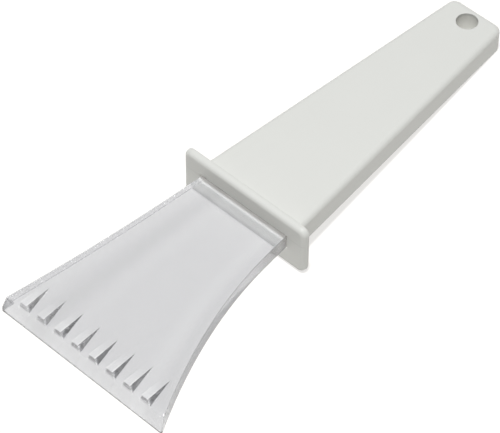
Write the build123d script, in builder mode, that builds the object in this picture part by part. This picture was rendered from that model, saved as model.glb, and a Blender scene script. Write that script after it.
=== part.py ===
from build123d import *
import os
from math import asin, cos, radians, sin, sqrt, tan

os.makedirs("parts", exist_ok=True)

# A hand scraper for clearing ice from a windshield. A clear blade with a row of ice-breaking
# teeth is pushed into the hollow of a white one-piece handle, whose front end is a wide guard
# plate for the hand. The scraper lies as it does on a table: the scraping edge, the foot of
# the guard and the foot of the tail all touch it, so the handle slopes gently to its tail.

# Driving dimensions, in millimetres and degrees.
length = 225.0  # scraping edge to tail, along the handle
rest_angle = 2.75  # slope of the handle above the table
fit_gap = 0.1  # clearance all round between the tang and the handle's hollow
mouth_round = 0.8  # rounded lip of the mouth that the tang is pushed into
overrun = 1.0  # how far a shape runs on into its neighbour, or a cut past a face

handle_height = 11.3
handle_front_width = 49.6  # at the guard's front face
handle_tail_width = 25.5
handle_top_round = 2.4
handle_foot_round = 1.0
tail_corner_round = 4.0

guard_setback = 87.0  # scraping edge to the guard's front face
guard_thickness = 3.2
guard_width = 62.0
guard_height = 23.6
guard_corner_round = 3.2
guard_front_round = 2.0  # soft front edge, where the side of the hand rests
guard_rear_round = 0.6
guard_root_round = 0.6  # small fillet where the handle grows out of the guard

hang_hole_radius = 4.45
hang_hole_to_tail = 7.3
hang_hole_wall = 2.7
hang_hole_edge = 0.35

blade_thickness = 6.6
blade_front_width = 83.3
blade_root_width = 43.8  # at the guard's front face
blade_edge_round = 0.35
blade_corner_round = 0.4  # the two front corners, in plan
bend_start = 74.0  # the blade is straight behind this, and bends down and widens in front
under_radius = 215.0  # the bend's radius on the blade's underside
bevel_length = 2.0  # the front bevel, along the handle
land_height = 2.4  # the upright face above the scraping edge

tooth_count = 8
tooth_pitch = 8.92
tooth_top_width = 3.1
tooth_draft = 15.0  # slope of a tooth's sides, from upright
tooth_reach = 14.1  # scraping edge to where a tooth's level top meets the blade
tooth_root_depth = 2.0  # how far a tooth's flanks run on below its front foot
tooth_setback = 0.1  # bevel's upper edge to a tooth's front face

tang_length = 32.0  # how far the blade reaches into the handle
stop_step = 1.0  # ledge at the end of the socket that stops the tang
core_height = 5.8  # height of the hollow behind the socket
core_corner_round = 2.0
snap_setback = 20.0  # guard's front face to the snap ridges
snap_radius = 1.2
snap_height = 0.6  # how far a snap ridge stands out of the tang's side

# The scraper's own directions. Lengths are measured along the handle from the scraping edge,
# and heights square to the handle's flat top, from the level of that edge.
lean = radians(rest_angle)


def foot_height(setback, edge_round):
    """Height of a rounded foot that touches the table this far from the scraping edge."""
    return (edge_round + setback * sin(lean)) / cos(lean) - edge_round


handle_foot = foot_height(length - handle_foot_round, handle_foot_round)
handle_top = handle_foot + handle_height
guard_back = guard_setback + guard_thickness
guard_foot = foot_height(guard_back - guard_rear_round, guard_rear_round)

# The scraping edge is rounded too. Its round meets the upright land in front and the bent
# underside behind, and these would meet in a corner just below it.
edge_middle = blade_edge_round + foot_height(blade_edge_round, blade_edge_round)
edge_slope = asin(bend_start / under_radius)
edge_corner = edge_middle - blade_edge_round * (tan(edge_slope) + 1 / cos(edge_slope))

# The origin is on the table, midway between the scraper's two ends.
edge_reach = blade_edge_round * (cos(lean) - 1) + edge_middle * sin(lean)
tail_reach = handle_top_round + (length - handle_top_round) * cos(lean)
tail_reach += (handle_top - handle_top_round) * sin(lean)

deck = Plane(
    origin=(-(edge_reach + tail_reach) / 2, 0, 0),
    x_dir=(cos(lean), 0, -sin(lean)),
    z_dir=(sin(lean), 0, cos(lean)),
)
side = Plane(origin=deck.origin, x_dir=deck.x_dir, z_dir=-deck.y_dir)
along = Axis(deck.origin, deck.x_dir)
upward = Axis(deck.origin, deck.z_dir)


def cross_plane(setback):
    """The plane square across the scraper, this far from the scraping edge."""
    origin = deck.from_local_coords(Vector(setback, 0, 0))
    return Plane(origin=origin, x_dir=deck.y_dir, z_dir=deck.x_dir)


# The handle, the hollow in it and the tang all narrow towards the tail at the same rate.
taper = (handle_front_width - handle_tail_width) / 2 / (length - guard_setback)


def half_width(root_width, setback):
    """Half of a tapered shape's width, where root_width is its width at the guard."""
    return root_width / 2 - taper * (setback - guard_setback)


def tapered_corners(root_width, start, end):
    """The four plan corners of a tapered shape between two setbacks."""
    near = half_width(root_width, start)
    far = half_width(root_width, end)
    return (start, near), (end, far), (end, -far), (start, -near)


# The blade is a sheet of even thickness. Its tang is level with the handle, and in front of
# the bend's start it curves down to the scraping edge.
blade_underside = edge_corner + under_radius * (1 - cos(edge_slope))
blade_topside = blade_underside + blade_thickness
over_radius = under_radius + blade_thickness


def topside_height(setback):
    """Height of the bent blade's upper surface this far from the scraping edge."""
    return blade_topside - over_radius + sqrt(over_radius**2 - (bend_start - setback) ** 2)


tang_end = guard_setback + tang_length
snap_place = guard_setback + snap_setback
snap_out = half_width(blade_root_width, snap_place) - snap_radius + snap_height

# Handle: one white injection moulding, hollow from the mouth in the guard almost to the
# hanging hole. The core that moulds the hollow is drawn out through the mouth.
guard_middle = guard_foot + guard_height / 2
grip_middle = handle_foot + handle_height / 2
hole_place = length - hang_hole_to_tail
core_end = hole_place - hang_hole_radius - hang_hole_wall
socket_width = blade_root_width + 2 * fit_gap
socket_height = blade_thickness + 2 * fit_gap

with BuildPart() as handle:
    with BuildSketch(cross_plane(guard_setback)):
        with Locations((0, guard_middle)):
            RectangleRounded(guard_width, guard_height, guard_corner_round)
    extrude(amount=guard_thickness)
    fillet(handle.faces().filter_by(along).sort_by(along)[0].edges(), guard_front_round)
    fillet(handle.faces().filter_by(along).sort_by(along)[-1].edges(), guard_rear_round)
    with BuildSketch(deck.offset(handle_foot)) as grip_plan:
        with BuildLine():
            grip_start = guard_setback + overrun
            Polyline(tapered_corners(handle_front_width, grip_start, length), close=True)
        make_face()
        fillet(grip_plan.vertices().group_by(Axis.X)[-1], tail_corner_round)
    extrude(amount=handle_height)
    grip_faces = handle.faces().filter_by(upward).sort_by(SortBy.AREA)[-2:]
    fillet(grip_faces.sort_by(upward)[-1].edges().sort_by(along)[1:], handle_top_round)
    fillet(grip_faces.sort_by(upward)[0].edges().sort_by(along)[1:], handle_foot_round)
    guard_rear = handle.faces().filter_by(along).sort_by(along)[1]
    fillet(guard_rear.inner_wires().edges(), guard_root_round)
    # the socket for the tang, with a groove for each snap ridge, and the slimmer hollow
    # behind it, whose ledge stops the tang
    with BuildSketch(deck.offset(blade_underside - fit_gap)):
        with BuildLine():
            mouth = guard_setback - overrun
            Polyline(tapered_corners(socket_width, mouth, tang_end), close=True)
        make_face()
        with Locations((snap_place, snap_out), (snap_place, -snap_out)):
            Circle(snap_radius + fit_gap)
    extrude(amount=socket_height, mode=Mode.SUBTRACT)
    guard_front = handle.faces().filter_by(along).sort_by(along)[0]
    fillet(guard_front.inner_wires().edges(), mouth_round)
    with BuildSketch(deck.offset(grip_middle - core_height / 2)) as core_plan:
        with BuildLine():
            core_width = socket_width - 2 * stop_step
            Polyline(tapered_corners(core_width, tang_end - overrun, core_end), close=True)
        make_face()
        fillet(core_plan.vertices().group_by(Axis.X)[-1], core_corner_round)
    extrude(amount=core_height, mode=Mode.SUBTRACT)
    with BuildSketch(deck.offset(handle_foot)):
        with Locations((hole_place, 0)):
            Circle(hang_hole_radius)
    extrude(amount=handle_height, mode=Mode.SUBTRACT)
    hole_rims = handle.edges(Select.LAST).filter_by(GeomType.CIRCLE)
    fillet(hole_rims, hang_hole_edge)

handle.part.label = "handle"
export_step(handle.part, "parts/handle.step")

# Blade: one clear injection moulding, drawn from the side and trimmed to its plan, with the
# teeth added on top near the scraping edge. The straight end behind the guard's front face is
# the tang, which has a snap ridge on each side.
tang_side = half_width(blade_root_width, tang_end)
flare_side = half_width(blade_root_width, bend_start)
front_side = blade_front_width / 2
tooth_front = bevel_length + tooth_setback
tooth_top = topside_height(tooth_reach)
tooth_rise = tooth_top - topside_height(tooth_front) + tooth_root_depth
tooth_root_width = tooth_top_width + 2 * tooth_rise * tan(radians(tooth_draft))

with BuildPart() as blade:
    with BuildSketch(side):
        with BuildLine():
            front_top = (bevel_length, topside_height(bevel_length))
            scraping_edge = (0, edge_corner)
            TangentArc((bend_start, blade_underside), scraping_edge, tangent=(-1, 0))
            Polyline(scraping_edge, (0, land_height), front_top)
            TangentArc((bend_start, blade_topside), front_top, tangent=(-1, 0))
            Polyline(
                (bend_start, blade_topside),
                (tang_end, blade_topside),
                (tang_end, blade_underside),
                (bend_start, blade_underside),
            )
        make_face()
    extrude(amount=blade_front_width, both=True)
    with BuildSketch(deck.offset(edge_corner - overrun)) as blade_plan:
        with BuildLine():
            TangentArc((bend_start, flare_side), (0, front_side), tangent=(-1, taper))
            Line((bend_start, flare_side), (tang_end, tang_side))
            mirror(about=Plane.XZ)
            Line((0, front_side), (0, -front_side))
            Line((tang_end, tang_side), (tang_end, -tang_side))
        make_face()
        fillet(blade_plan.vertices().group_by(Axis.X)[0], blade_corner_round)
    extrude(amount=handle_top, mode=Mode.INTERSECT)
    rims = blade.edges().filter_by(lambda edge: abs(edge.center().Y) > tang_side)
    fillet(rims.filter_by(lambda edge: edge.length > tang_length), blade_edge_round)
    with BuildSketch(cross_plane(tooth_front)):
        with Locations((0, tooth_top)):
            with GridLocations(tooth_pitch, 1, tooth_count, 1):
                Trapezoid(
                    tooth_root_width,
                    tooth_rise,
                    90 - tooth_draft,
                    align=(Align.CENTER, Align.MAX),
                )
    extrude(amount=tooth_reach - tooth_front)
    with BuildSketch(deck.offset(blade_underside)):
        with Locations((snap_place, snap_out), (snap_place, -snap_out)):
            Circle(snap_radius)
    extrude(amount=blade_thickness)

blade.part.label = "blade"
export_step(blade.part, "parts/blade.step")
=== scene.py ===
import math

import bmesh
import bpy
from mathutils import Matrix, Vector


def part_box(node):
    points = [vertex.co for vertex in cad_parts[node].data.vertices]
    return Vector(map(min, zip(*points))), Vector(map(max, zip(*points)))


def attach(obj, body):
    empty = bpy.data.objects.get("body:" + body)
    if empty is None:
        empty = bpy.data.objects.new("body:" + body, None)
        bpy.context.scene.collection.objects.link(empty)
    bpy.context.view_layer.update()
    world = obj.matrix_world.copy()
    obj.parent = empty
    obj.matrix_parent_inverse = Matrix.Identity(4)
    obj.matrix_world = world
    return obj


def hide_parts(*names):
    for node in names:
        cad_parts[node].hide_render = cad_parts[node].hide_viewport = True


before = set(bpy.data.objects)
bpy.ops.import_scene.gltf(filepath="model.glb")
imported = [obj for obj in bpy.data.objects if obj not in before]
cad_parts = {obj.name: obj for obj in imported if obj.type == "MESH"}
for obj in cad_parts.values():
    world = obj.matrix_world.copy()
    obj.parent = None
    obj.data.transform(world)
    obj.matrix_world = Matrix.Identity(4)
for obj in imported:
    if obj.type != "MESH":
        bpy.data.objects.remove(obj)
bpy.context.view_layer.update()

# ------------------------------------------------------------------------------------------
# Blade. One clear moulding in hard polystyrene: an even sheet that curves down and spreads out to
# the scraping edge, with eight wedge teeth standing on it for breaking thick ice. Its
# straight end is a tang that is pushed into the handle's mouth until it snaps home.

LEAN = math.radians(2.75)  # the scraper's slope as it lies on the table
BLADE_THICKNESS = 6.6
UNDER_RADIUS = 215.0  # the bend, on the underside
OVER_RADIUS = UNDER_RADIUS + BLADE_THICKNESS
BEND_START = 74.0  # straight behind this, bent and widening in front of it
UNDERSIDE = 13.0
TOPSIDE = UNDERSIDE + BLADE_THICKNESS
TANG_END = 119.0
TANG_TAPER = 0.0873
FLARE_HALF_WIDTH = 23.04  # at the bend's start
FRONT_HALF_WIDTH = 41.5
LAND_HEIGHT = 2.4  # upright face over the scraping edge
BEVEL_LENGTH = 2.0
TOOTH_COUNT = 8
TOOTH_PITCH = 8.92
TOOTH_HALF_TOP = 1.55
TOOTH_DRAFT = math.tan(math.radians(15.0))
TOOTH_TOP = 11.35
TOOTH_REACH = 14.1
TIP_INSET = 0.0172  # rounded scraping edge, short of the sharp corner that sizes start from

tip = Vector((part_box("blade")[0].x - TIP_INSET / 1000, 0, 0))


def laid(along, across, height):
    """A place on the scraper, in millimetres from its scraping edge, as it lies on the table."""
    x = along * math.cos(LEAN) + height * math.sin(LEAN)
    z = height * math.cos(LEAN) - along * math.sin(LEAN)
    return tip + Vector((x, across, z)) / 1000


def blade_half_width(along):
    """The tang narrows slightly to its end. In front of the bend the sides flare in an arc."""
    if along >= BEND_START:
        return FLARE_HALF_WIDTH - TANG_TAPER * (along - BEND_START)
    start = Vector((BEND_START, FLARE_HALF_WIDTH))
    end = Vector((0, FRONT_HALF_WIDTH))
    outward = Vector((TANG_TAPER, 1)).normalized()
    radius = (end - start).length_squared / (2 * outward.dot(end - start))
    middle = start + outward * radius
    return middle.y - math.sqrt(radius**2 - (along - middle.x) ** 2)


def blade_underside(along):
    bent = max(BEND_START - along, 0)
    return UNDERSIDE - UNDER_RADIUS + math.sqrt(UNDER_RADIUS**2 - bent**2)


def blade_topside(along):
    bent = max(BEND_START - along, 0)
    return TOPSIDE - OVER_RADIUS + math.sqrt(OVER_RADIUS**2 - bent**2)


def tooth_rise(along):
    """How far a tooth's level top stands above the falling sheet."""
    return max(TOOTH_TOP - blade_topside(along), 0)


def blade_columns(along):
    """Places across the sheet, each with 1 on a tooth's top and 0 on the sheet."""
    foot = TOOTH_HALF_TOP + tooth_rise(max(along, BEVEL_LENGTH)) * TOOTH_DRAFT
    half = blade_half_width(along)
    squeeze = half / blade_half_width(TOOTH_REACH) if along > TOOTH_REACH else 1
    gap = TOOTH_PITCH - 2 * foot
    first = -(TOOTH_COUNT - 1) / 2 * TOOTH_PITCH
    columns = []
    for number in range(TOOTH_COUNT):
        centre = first + number * TOOTH_PITCH
        columns += [(centre - foot, 0), (centre - TOOTH_HALF_TOP, 1), (centre, 1)]
        columns += [(centre + TOOTH_HALF_TOP, 1), (centre + foot, 0)]
        if number < TOOTH_COUNT - 1:
            columns += [(centre + foot + gap * part / 3, 0) for part in (1, 2)]
    columns = [(across * squeeze, up) for across, up in columns]
    outer = columns[-1][0]
    margin = [outer + (half - outer) * part / 4 for part in (1, 2, 3, 4)]
    left = [(-across, 0) for across in reversed(margin)]
    return left + columns + [(across, 0) for across in margin]


rows = [(0.0, False), (BEVEL_LENGTH, False), (BEVEL_LENGTH, True)]
rows += [(BEVEL_LENGTH + (TOOTH_REACH - BEVEL_LENGTH) * step / 10, True) for step in range(1, 11)]
rows += [(TOOTH_REACH + (BEND_START - TOOTH_REACH) * step / 20, False) for step in range(1, 21)]
rows += [(BEND_START + (TANG_END - BEND_START) * step / 10, False) for step in range(1, 11)]

shell = bmesh.new()
across_layer = shell.verts.layers.float.new("across")
along_layer = shell.verts.layers.float.new("along")
crest_layer = shell.faces.layers.float.new("crest")
flank_layer = shell.faces.layers.float.new("flank")
front_layer = shell.faces.layers.float.new("tooth_front")
rim_layer = shell.verts.layers.float.new("lower_rim")
arris_layer = shell.verts.layers.float.new("tooth_arris")
over, under = [], []
for along, toothed in rows:
    top = LAND_HEIGHT if along == 0 else blade_topside(along)
    over_row, under_row = [], []
    for across, up in blade_columns(along):
        height = top + (tooth_rise(along) if toothed and up else 0)
        over_row.append(shell.verts.new(laid(along, across, height)))
        under_row.append(shell.verts.new(laid(along, across, blade_underside(along))))
        for point in (over_row[-1], under_row[-1]):
            point[across_layer] = across / blade_half_width(along)
            point[along_layer] = along
        if along == 0:
            under_row[-1][rim_layer] = 1.0
        elif len(under_row) in (1, len(blade_columns(along))):
            under_row[-1][rim_layer] = 0.6
    over.append(over_row)
    under.append(under_row)
last = len(over[0]) - 1
raised = [up for _, up in blade_columns(TOOTH_REACH)]
for (along, toothed), over_row in zip(rows, over):
    for number in range(1, last):
        nearby = raised[number - 1 : number + 2]
        if toothed and raised[number] and sum(nearby) == 2:
            over_row[number][arris_layer] = 1.0
        elif along == BEVEL_LENGTH and not raised[number] and sum(nearby) == 1:
            over_row[number][arris_layer] = 1.0
for near in range(len(rows) - 1):
    far = near + 1
    for left in range(last):
        right = left + 1
        face = shell.faces.new(
            (over[near][left], over[far][left], over[far][right], over[near][right])
        )
        if rows[near][1] and rows[far][1]:
            face[crest_layer] = float(raised[left] and raised[right])
            face[flank_layer] = float(raised[left] != raised[right])
        elif rows[far][1]:
            face[front_layer] = 1.0
        shell.faces.new((under[near][left], under[near][right], under[far][right], under[far][left]))
    shell.faces.new((over[near][0], under[near][0], under[far][0], over[far][0]))
    shell.faces.new((over[near][last], over[far][last], under[far][last], under[near][last]))
for left in range(last):
    right = left + 1
    shell.faces.new((over[0][left], over[0][right], under[0][right], under[0][left]))
    shell.faces.new((over[-1][left], under[-1][left], under[-1][right], over[-1][right]))
bmesh.ops.remove_doubles(shell, verts=shell.verts, dist=1e-7)
bmesh.ops.recalc_face_normals(shell, faces=shell.faces)

# Every outside edge is softened a little, as a polished mould leaves it. A tooth's edges fade
# out with its height, towards its rear end.
BLADE_EDGE_ROUND = 0.62
SHARP_FROM = math.radians(25)  # a fold sharper than this is an edge
TOOTH_SHARE = 0.36  # how much of the full round an edge gets
FULL_TOOTH_RISE = 1.5
SCRAPING_SHARE = 1.0
BEVEL_SHARE = 0.45
UPPER_SHARE = 0.72
LOWER_SHARE = 0.26
rounding = shell.edges.layers.float.new("bevel_weight_edge")
untilt = Matrix.Rotation(-LEAN, 3, "Y")
for edge in shell.edges:
    edge.smooth = True
    if len(edge.link_faces) != 2:
        continue
    angle = edge.calc_face_angle_signed(0)
    if abs(angle) > SHARP_FROM:
        edge.smooth = False
    if angle < SHARP_FROM:
        continue
    middle = (edge.verts[0].co + edge.verts[1].co) / 2
    along, across, height = untilt @ (middle - tip) * 1000
    rise = height - blade_topside(along)
    if along > BEVEL_LENGTH - 0.01 and rise > 0.05:
        edge[rounding] = TOOTH_SHARE * min(rise / FULL_TOOTH_RISE, 1)
    elif along < BEVEL_LENGTH + 0.05 and abs(across) < FRONT_HALF_WIDTH - 1:
        edge[rounding] = SCRAPING_SHARE if height < LAND_HEIGHT / 2 else BEVEL_SHARE
    elif height > (blade_topside(along) + blade_underside(along)) / 2:
        edge[rounding] = UPPER_SHARE
    else:
        edge[rounding] = LOWER_SHARE
for face in shell.faces:
    face.smooth = True

blade_mesh = bpy.data.meshes.new("clear_blade")
shell.to_mesh(blade_mesh)
shell.free()
blade = bpy.data.objects.new("clear_blade", blade_mesh)
bpy.context.scene.collection.objects.link(blade)
softened = blade.modifiers.new("softened edges", "BEVEL")
softened.limit_method = "WEIGHT"
softened.width = BLADE_EDGE_ROUND / 1000
softened.segments = 3
softened.use_clamp_overlap = False
even = blade.modifiers.new("even shading", "WEIGHTED_NORMAL")
even.keep_sharp = True


def place_node(tree, kind, settings=(), **inputs):
    """One shader node. Its settings are set by name, and each input is given a value or a wire."""
    node = tree.nodes.new(kind)
    for name, value in dict(settings).items():
        setattr(node, name, value)
    for name, value in inputs.items():
        socket = node.inputs[name.replace("_", " ")]
        if isinstance(value, bpy.types.NodeSocket):
            tree.links.new(value, socket)
        else:
            socket.default_value = value
    return node


def sums(tree, operation, *values):
    """A chain of one arithmetic step after another over wires and plain numbers."""
    result = values[0]
    for value in values[1:]:
        node = place_node(tree, "ShaderNodeMath", {"operation": operation})
        for socket, given in zip(node.inputs, (result, value)):
            if isinstance(given, bpy.types.NodeSocket):
                tree.links.new(given, socket)
            else:
                socket.default_value = given
        result = node.outputs[0]
    return result


def ramp(tree, value, low, high, low_to=0.0, high_to=1.0):
    """A value eased from one number to another between two places."""
    node = place_node(tree, "ShaderNodeMapRange", {"interpolation_type": "SMOOTHSTEP"})
    for name, given in zip(("From Min", "From Max", "To Min", "To Max"), (low, high, low_to, high_to)):
        node.inputs[name].default_value = given
    tree.links.new(value, node.inputs["Value"])
    return node.outputs[0]


def shade(tree, colour, value):
    """A colour made darker or lighter by a value."""
    node = place_node(tree, "ShaderNodeVectorMath", {"operation": "SCALE"})
    for socket, given in ((node.inputs["Vector"], colour), (node.inputs["Scale"], value)):
        if isinstance(given, bpy.types.NodeSocket):
            tree.links.new(given, socket)
        else:
            socket.default_value = given
    return node.outputs[0]


def moulded_plastic_group():
    """What a mould leaves on plastic: cloudy tone, long flow streaks and a fine satin grain."""
    group = bpy.data.node_groups.new("moulded plastic", "ShaderNodeTree")
    for name, kind in (
        ("Place", "NodeSocketVector"),
        ("Colour", "NodeSocketColor"),
        ("Roughness", "NodeSocketFloat"),
        ("Cloudiness", "NodeSocketFloat"),
        ("Streaks", "NodeSocketFloat"),
        ("Grain", "NodeSocketFloat"),
    ):
        group.interface.new_socket(name=name, in_out="INPUT", socket_type=kind)
    for name, kind in (
        ("Colour", "NodeSocketColor"),
        ("Roughness", "NodeSocketFloat"),
        ("Height", "NodeSocketFloat"),
    ):
        group.interface.new_socket(name=name, in_out="OUTPUT", socket_type=kind)
    given = group.nodes.new("NodeGroupInput").outputs
    made = group.nodes.new("NodeGroupOutput").inputs
    clouds = place_node(group, "ShaderNodeTexNoise", Vector=given["Place"], Scale=45.0, Detail=3.0)
    stretched = place_node(group, "ShaderNodeMapping", Vector=given["Place"], Scale=(9, 210, 210))
    streaks = place_node(group, "ShaderNodeTexNoise", Vector=stretched.outputs[0], Scale=1.0)
    grain = place_node(group, "ShaderNodeTexNoise", Vector=given["Place"], Scale=2600.0, Detail=2.0)
    cloud = sums(group, "SUBTRACT", clouds.outputs[0], 0.5)
    streak = sums(group, "SUBTRACT", streaks.outputs[0], 0.5)
    cloud_share = sums(group, "MULTIPLY", cloud, given["Cloudiness"])
    streak_share = sums(group, "MULTIPLY", streak, given["Streaks"])
    tone = sums(group, "ADD", cloud_share, streak_share, 1.0)
    group.links.new(shade(group, given["Colour"], tone), made["Colour"])
    gloss = sums(group, "ADD", sums(group, "MULTIPLY", cloud_share, 2.0), streak_share, 1.0)
    group.links.new(sums(group, "MULTIPLY", gloss, given["Roughness"]), made["Roughness"])
    pores = sums(group, "MULTIPLY", grain.outputs[0], given["Grain"])
    group.links.new(sums(group, "ADD", pores, streak_share, cloud_share), made["Height"])
    return group


def scuff_group():
    """Hairline scuffs from use and packing: thin short lines that catch the light, in patches."""
    group = bpy.data.node_groups.new("hairline scuffs", "ShaderNodeTree")
    for name, kind in (("Place", "NodeSocketVector"), ("Turn", "NodeSocketFloat")):
        group.interface.new_socket(name=name, in_out="INPUT", socket_type=kind)
    group.interface.new_socket(name="Scuffs", in_out="OUTPUT", socket_type="NodeSocketFloat")
    given = group.nodes.new("NodeGroupInput").outputs
    made = group.nodes.new("NodeGroupOutput").inputs
    turned = place_node(
        group, "ShaderNodeVectorRotate", {"rotation_type": "Z_AXIS"},
        Vector=given["Place"], Angle=given["Turn"],
    )
    long = place_node(group, "ShaderNodeMapping", Vector=turned.outputs[0], Scale=(40, 1400, 60))
    lines = place_node(group, "ShaderNodeTexNoise", Vector=long.outputs[0], Scale=1.0, Detail=1.0)
    patches = place_node(group, "ShaderNodeTexNoise", Vector=given["Place"], Scale=70.0)
    thin = ramp(group, lines.outputs[0], 0.70, 0.76)
    where = ramp(group, patches.outputs[0], 0.5, 0.68)
    group.links.new(sums(group, "MULTIPLY", thin, where), made["Scuffs"])
    return group


MOULDED_PLASTIC = moulded_plastic_group()
HAIRLINE_SCUFFS = scuff_group()

# The clear plastic's tint carries painted light and shade. It is darker along two lengthwise bands,
# with a paler line beside each, and paler along one margin. Painted highlights make the tops and
# edges of the teeth its brightest places, and painted shade makes their flanks and the lower edges of
# the sheet its darkest.
CLEAR_TINT = (0.672, 0.678, 0.698)
CLEAR_TONE = 0.952
PAINTED_BANDS = (  # middle, from -1 to 1 across the sheet, then reach to each side and change of tone
    (-0.89, 0.14, -0.035),
    (-0.69, 0.18, 0.033),
    (0.30, 0.12, 0.022),
    (0.58, 0.20, -0.06),
)
MARGIN_START, MARGIN_FULL = 0.72, 0.92
MARGIN_CHANGE = 0.045
TOOTH_GLEAM = 1.45
ROOT_START, ROOT_FULL = 80.9, 82.0
ROOT_CHANGE = 1.3  # from there back the tint is made paler, or it looks too dark in the mouth
LOWER_RIM_TONE = 0.02

clear_plastic = bpy.data.materials.new("clear_plastic")
clear_plastic.use_nodes = True
tree = clear_plastic.node_tree
shader = tree.nodes["Principled BSDF"]
place = place_node(tree, "ShaderNodeTexCoord").outputs["Object"]
across, along, crest, flank, front, lower_rim, arris = (
    place_node(tree, "ShaderNodeAttribute", {"attribute_name": name}).outputs["Fac"]
    for name in (
        "across", "along", "crest", "flank", "tooth_front", "lower_rim", "tooth_arris"
    )
)
# The bands and the paler margin are painted light and shade in the tint.
tone_and_painted_bands = [CLEAR_TONE, ramp(tree, across, MARGIN_START, MARGIN_FULL, 0.0, MARGIN_CHANGE)]
for middle, reach, change in PAINTED_BANDS:
    rising = ramp(tree, across, middle - reach, middle)
    falling = ramp(tree, across, middle, middle + reach, change, 0.0)
    tone_and_painted_bands.append(sums(tree, "MULTIPLY", rising, falling))
# Painted highlight: paler near the scraping edge, on the teeth's tops towards their front, and
# brightest along the teeth's upper edges.
near_edge = ramp(tree, along, 2.2, 6.0, 0.5, 0.0)
tooth_front = sums(tree, "MULTIPLY", crest, ramp(tree, along, 3.0, 13.0, 1.0, 0.0))
painted_highlight = sums(tree, "MAXIMUM", tooth_front, near_edge)
mottled = place_node(tree, "ShaderNodeTexNoise", Vector=place, Scale=700.0)
# Painted shade darkens the teeth's flanks, unevenly.
painted_flank_shade = sums(
    tree, "MULTIPLY", flank, ramp(tree, along, 2.3, 3.0),
    ramp(tree, mottled.outputs[0], 0.35, 0.65, 0.5, 0.72),
)
lift = sums(tree, "ADD", sums(tree, "MULTIPLY", painted_highlight, 0.2), 1.0)
painted_arris_highlight = sums(tree, "MULTIPLY", arris, ramp(tree, along, 5.0, 11.0, 1.0, 0.4))
# The tone also holds painted shade on the lower edges of the sheet and on the teeth's front faces, and
# painted light at the root.
tone = sums(
    tree, "MULTIPLY", lift, sums(tree, "SUBTRACT", 1.0, painted_flank_shade), sums(tree, "ADD", *tone_and_painted_bands),
    ramp(tree, lower_rim, 0.45, 0.8, 1.0, LOWER_RIM_TONE),
    ramp(tree, painted_arris_highlight, 0.72, 0.92, 1.0, TOOTH_GLEAM),
    sums(tree, "SUBTRACT", 1.0, sums(tree, "MULTIPLY", front, 0.2)),
    ramp(tree, along, ROOT_START, ROOT_FULL, 1.0, ROOT_CHANGE),
)
tinted = shade(tree, CLEAR_TINT, tone)
surface = place_node(
    tree, "ShaderNodeGroup", {"node_tree": MOULDED_PLASTIC},
    Place=place, Colour=tinted, Roughness=0.05, Cloudiness=0.012, Streaks=0.012, Grain=0.0,
)
scuffs = place_node(
    tree, "ShaderNodeGroup", {"node_tree": HAIRLINE_SCUFFS}, Place=place, Turn=0.35
).outputs[0]
tree.links.new(surface.outputs["Colour"], shader.inputs["Base Color"])
tree.links.new(
    sums(tree, "ADD", surface.outputs["Roughness"], sums(tree, "MULTIPLY", scuffs, 0.12)),
    shader.inputs["Roughness"],
)
ripple = place_node(
    tree, "ShaderNodeBump", Height=surface.outputs["Height"], Strength=0.12, Distance=0.0005
)
tree.links.new(ripple.outputs[0], shader.inputs["Normal"])
shader.inputs["IOR"].default_value = 1.58
shader.inputs["Transmission Weight"].default_value = 0.85

# Lamp light goes on through the clear plastic to the table and into the mouth, a little dimmed.
ray = place_node(tree, "ShaderNodeLightPath").outputs
passing = place_node(tree, "ShaderNodeBsdfTransparent", Color=(0.97, 0.972, 0.975, 1))
dimming = place_node(tree, "ShaderNodeBsdfTransparent", Color=(0.86, 0.86, 0.86, 1))
for_lamps = tree.nodes.new("ShaderNodeMixShader")
for_soft_light = tree.nodes.new("ShaderNodeMixShader")
tree.links.new(ray["Is Shadow Ray"], for_lamps.inputs[0])
tree.links.new(shader.outputs[0], for_lamps.inputs[1])
tree.links.new(passing.outputs[0], for_lamps.inputs[2])
tree.links.new(ray["Is Diffuse Ray"], for_soft_light.inputs[0])
tree.links.new(for_lamps.outputs[0], for_soft_light.inputs[1])
tree.links.new(dimming.outputs[0], for_soft_light.inputs[2])
tree.links.new(for_soft_light.outputs[0], tree.nodes["Material Output"].inputs["Surface"])
blade_mesh.materials.append(clear_plastic)
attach(blade, "root")
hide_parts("blade")

# ------------------------------------------------------------------------------------------
# Handle. One white moulding with a satin finish, hollow from the mouth in its guard almost to
# the hanging hole. It comes straight from the solid model, and gets its finish here.

HANDLE_WHITE = (0.665, 0.672, 0.646)
GUARD_FRONT = 87.0
GUARD_BACK = 90.2
PARTING_HEIGHT = 19.7  # where the two halves of the mould meet on the guard's front
PARTING_STEP = 0.3
SOCKET_LOW, SOCKET_HIGH = 12.0, 20.55
SOCKET_HALF_WIDTH = 22.8
SOCKET_LIGHT = (1.0, 0.94, 0.86)
GUARD_FOOT = 5.6  # where the guard's lower edge turns under, and the grip's
GRIP_FOOT = 11.45

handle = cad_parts["handle"]
white_plastic = bpy.data.materials.new("white_plastic")
white_plastic.use_nodes = True
tree = white_plastic.node_tree
shader = tree.nodes["Principled BSDF"]
place = place_node(tree, "ShaderNodeTexCoord").outputs["Object"]
level = place_node(tree, "ShaderNodeMapping", Vector=place, Location=-tip)
level = place_node(
    tree, "ShaderNodeVectorRotate", {"rotation_type": "Y_AXIS"},
    Vector=level.outputs[0], Angle=-LEAN,
)
spot = place_node(tree, "ShaderNodeSeparateXYZ", Vector=level.outputs[0]).outputs

# A faint step crosses the guard's front. Just under it the white is darkened a little, as painted
# shade.
on_front = ramp(tree, spot["X"], (GUARD_FRONT + 0.5) / 1000, (GUARD_FRONT + 0.9) / 1000, 1.0, 0.0)
step = ramp(
    tree, spot["Z"], (PARTING_HEIGHT - PARTING_STEP) / 1000, (PARTING_HEIGHT + PARTING_STEP) / 1000
)
under_step = sums(
    tree, "MULTIPLY", on_front,
    ramp(tree, spot["Z"], (PARTING_HEIGHT - 3 * PARTING_STEP) / 1000, PARTING_HEIGHT / 1000),
    sums(tree, "SUBTRACT", 1.0, step),
)

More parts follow.
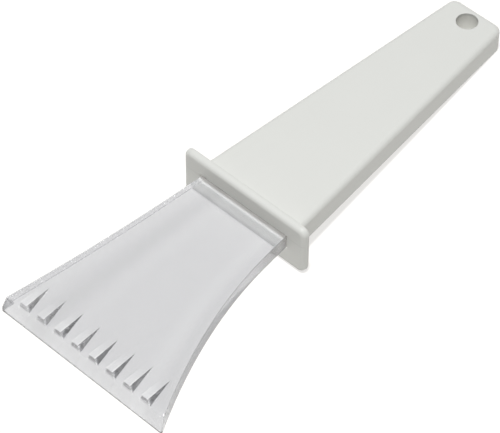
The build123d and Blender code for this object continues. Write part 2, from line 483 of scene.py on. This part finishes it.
# Where the lower edges turn under, the white is darkened to a thin line of shade.
guard_edge = sums(
    tree, "MULTIPLY",
    ramp(tree, spot["X"], (GUARD_BACK + 0.3) / 1000, (GUARD_BACK + 1.3) / 1000, 1.0, 0.0),
    ramp(tree, spot["Z"], GUARD_FOOT / 1000, (GUARD_FOOT + 0.5) / 1000, 1.0, 0.0),
)
grip_edge = sums(
    tree, "MULTIPLY",
    ramp(tree, spot["X"], (GUARD_BACK + 0.3) / 1000, (GUARD_BACK + 1.3) / 1000),
    ramp(tree, spot["Z"], GRIP_FOOT / 1000, (GRIP_FOOT + 0.45) / 1000, 1.0, 0.0),
)
greyed = sums(tree, "MULTIPLY", sums(tree, "MAXIMUM", guard_edge, grip_edge), 0.75)
# The band under the step is painted shade, like the line along the lower edges.
shaded = sums(tree, "ADD", greyed, sums(tree, "MULTIPLY", under_step, 0.07))
tint = shade(tree, HANDLE_WHITE, sums(tree, "SUBTRACT", 1.0, shaded))
surface = place_node(
    tree, "ShaderNodeGroup", {"node_tree": MOULDED_PLASTIC},
    Place=place, Colour=tint, Roughness=0.42, Cloudiness=0.02, Streaks=0.012, Grain=0.06,
)
scuffs = place_node(
    tree, "ShaderNodeGroup", {"node_tree": HAIRLINE_SCUFFS}, Place=place, Turn=0.5
).outputs[0]
tree.links.new(surface.outputs["Colour"], shader.inputs["Base Color"])
tree.links.new(
    sums(tree, "SUBTRACT", surface.outputs["Roughness"], sums(tree, "MULTIPLY", scuffs, 0.08)),
    shader.inputs["Roughness"],
)
relief = sums(tree, "ADD", surface.outputs["Height"], sums(tree, "MULTIPLY", on_front, step, 0.12))
grain = place_node(tree, "ShaderNodeBump", Height=relief, Strength=0.5, Distance=0.0004)
tree.links.new(grain.outputs[0], shader.inputs["Normal"])

# A faint glow stands for the light that soaks through the white walls into the socket. It is
# strongest near the mouth.
off_centre = sums(tree, "MAXIMUM", spot["Y"], sums(tree, "MULTIPLY", spot["Y"], -1.0))
inside = sums(
    tree, "MULTIPLY",
    ramp(tree, spot["X"], (GUARD_FRONT + 0.05) / 1000, (GUARD_FRONT + 0.8) / 1000),
    ramp(tree, spot["X"], (GUARD_FRONT + 4) / 1000, (GUARD_FRONT + 40) / 1000, 1.0, 0.3),
    ramp(tree, spot["Z"], (SOCKET_LOW - 0.1) / 1000, SOCKET_LOW / 1000),
    ramp(tree, spot["Z"], SOCKET_HIGH / 1000, (SOCKET_HIGH + 0.1) / 1000, 1.0, 0.0),
    ramp(
        tree,
        sums(
            tree, "ADD", off_centre,
            sums(tree, "MULTIPLY", spot["X"], TANG_TAPER), -TANG_TAPER * GUARD_FRONT / 1000,
        ),
        SOCKET_HALF_WIDTH / 1000, (SOCKET_HALF_WIDTH + 0.3) / 1000, 1.0, 0.0,
    ),
)
tree.links.new(shade(tree, SOCKET_LIGHT, inside), shader.inputs["Emission Color"])
shader.inputs["Emission Strength"].default_value = 0.2
shader.inputs["Specular IOR Level"].default_value = 0.3
handle.data.materials.clear()
handle.data.materials.append(white_plastic)

# ------------------------------------------------------------------------------------------
# Studio. A white table that glows slightly, so that shadows on it stay faint, one square soft
# light overhead, pale walls and the camera. None of it is part of the scraper.

TABLE_SIZE = 3.0
LAMP_SIZE = 0.32
LAMP_PLACE = Vector((-0.19, -0.15, 2.0))
CAMERA_DISTANCE = 1.0250

floor_mesh = bpy.data.meshes.new("table")
table = bmesh.new()
bmesh.ops.create_grid(table, x_segments=8, y_segments=8, size=TABLE_SIZE)
table.to_mesh(floor_mesh)
table.free()
floor = bpy.data.objects.new("table", floor_mesh)
bpy.context.scene.collection.objects.link(floor)
paper = bpy.data.materials.new("white_table")
paper.use_nodes = True
shader = paper.node_tree.nodes["Principled BSDF"]
shader.inputs["Base Color"].default_value = (0.30, 0.294, 0.284, 1)
shader.inputs["Roughness"].default_value = 0.9
shader.inputs["Emission Color"].default_value = (1, 0.99, 0.97, 1)
shader.inputs["Emission Strength"].default_value = 0.74
floor_mesh.materials.append(paper)

room = bpy.data.worlds.new("room")
room.use_nodes = True
room.node_tree.nodes["Background"].inputs["Color"].default_value = (1, 1, 1, 1)
room.node_tree.nodes["Background"].inputs["Strength"].default_value = 0.04
walls = place_node(room.node_tree, "ShaderNodeBackground", Color=(1, 1, 1, 1), Strength=0.7)
seen = room.node_tree.nodes.new("ShaderNodeMixShader")
ray = place_node(room.node_tree, "ShaderNodeLightPath").outputs
room.node_tree.links.new(ray["Is Diffuse Ray"], seen.inputs[0])
room.node_tree.links.new(walls.outputs[0], seen.inputs[1])
room.node_tree.links.new(room.node_tree.nodes["Background"].outputs[0], seen.inputs[2])
room.node_tree.links.new(seen.outputs[0], room.node_tree.nodes["World Output"].inputs["Surface"])
bpy.context.scene.world = room

lamp = bpy.data.lights.new("overhead softbox", "AREA")
lamp.shape = "RECTANGLE"
lamp.size = LAMP_SIZE
lamp.size_y = LAMP_SIZE
lamp.energy = 43.5
softbox = bpy.data.objects.new("overhead softbox", lamp)
bpy.context.scene.collection.objects.link(softbox)
softbox.visible_transmission = False
softbox.location = LAMP_PLACE
softbox.rotation_euler = LAMP_PLACE.to_track_quat("Z", "Y").to_euler()

bpy.context.scene.view_settings.view_transform = "Standard"

lens = bpy.data.cameras.new("camera")
lens.lens = 195.96
lens.sensor_width = 36
lens.clip_start = 0.01
lens.dof.use_dof = False
camera = bpy.data.objects.new("camera", lens)
bpy.context.scene.collection.objects.link(camera)
turn, climb, tilt = math.radians(-45.08), math.radians(51.46), math.radians(-2.474)
aim = Vector((-0.02505, -0.00352, 0.012))
back = Vector((math.sin(turn) * math.cos(climb), -math.cos(turn) * math.cos(climb), math.sin(climb)))
look = (-back).to_track_quat("-Z", "Y").to_matrix() @ Matrix.Rotation(tilt, 3, "Z")
camera.matrix_world = Matrix.Translation(aim + back * CAMERA_DISTANCE) @ look.to_4x4()
bpy.context.scene.camera = camera

bpy.context.view_layer.update()
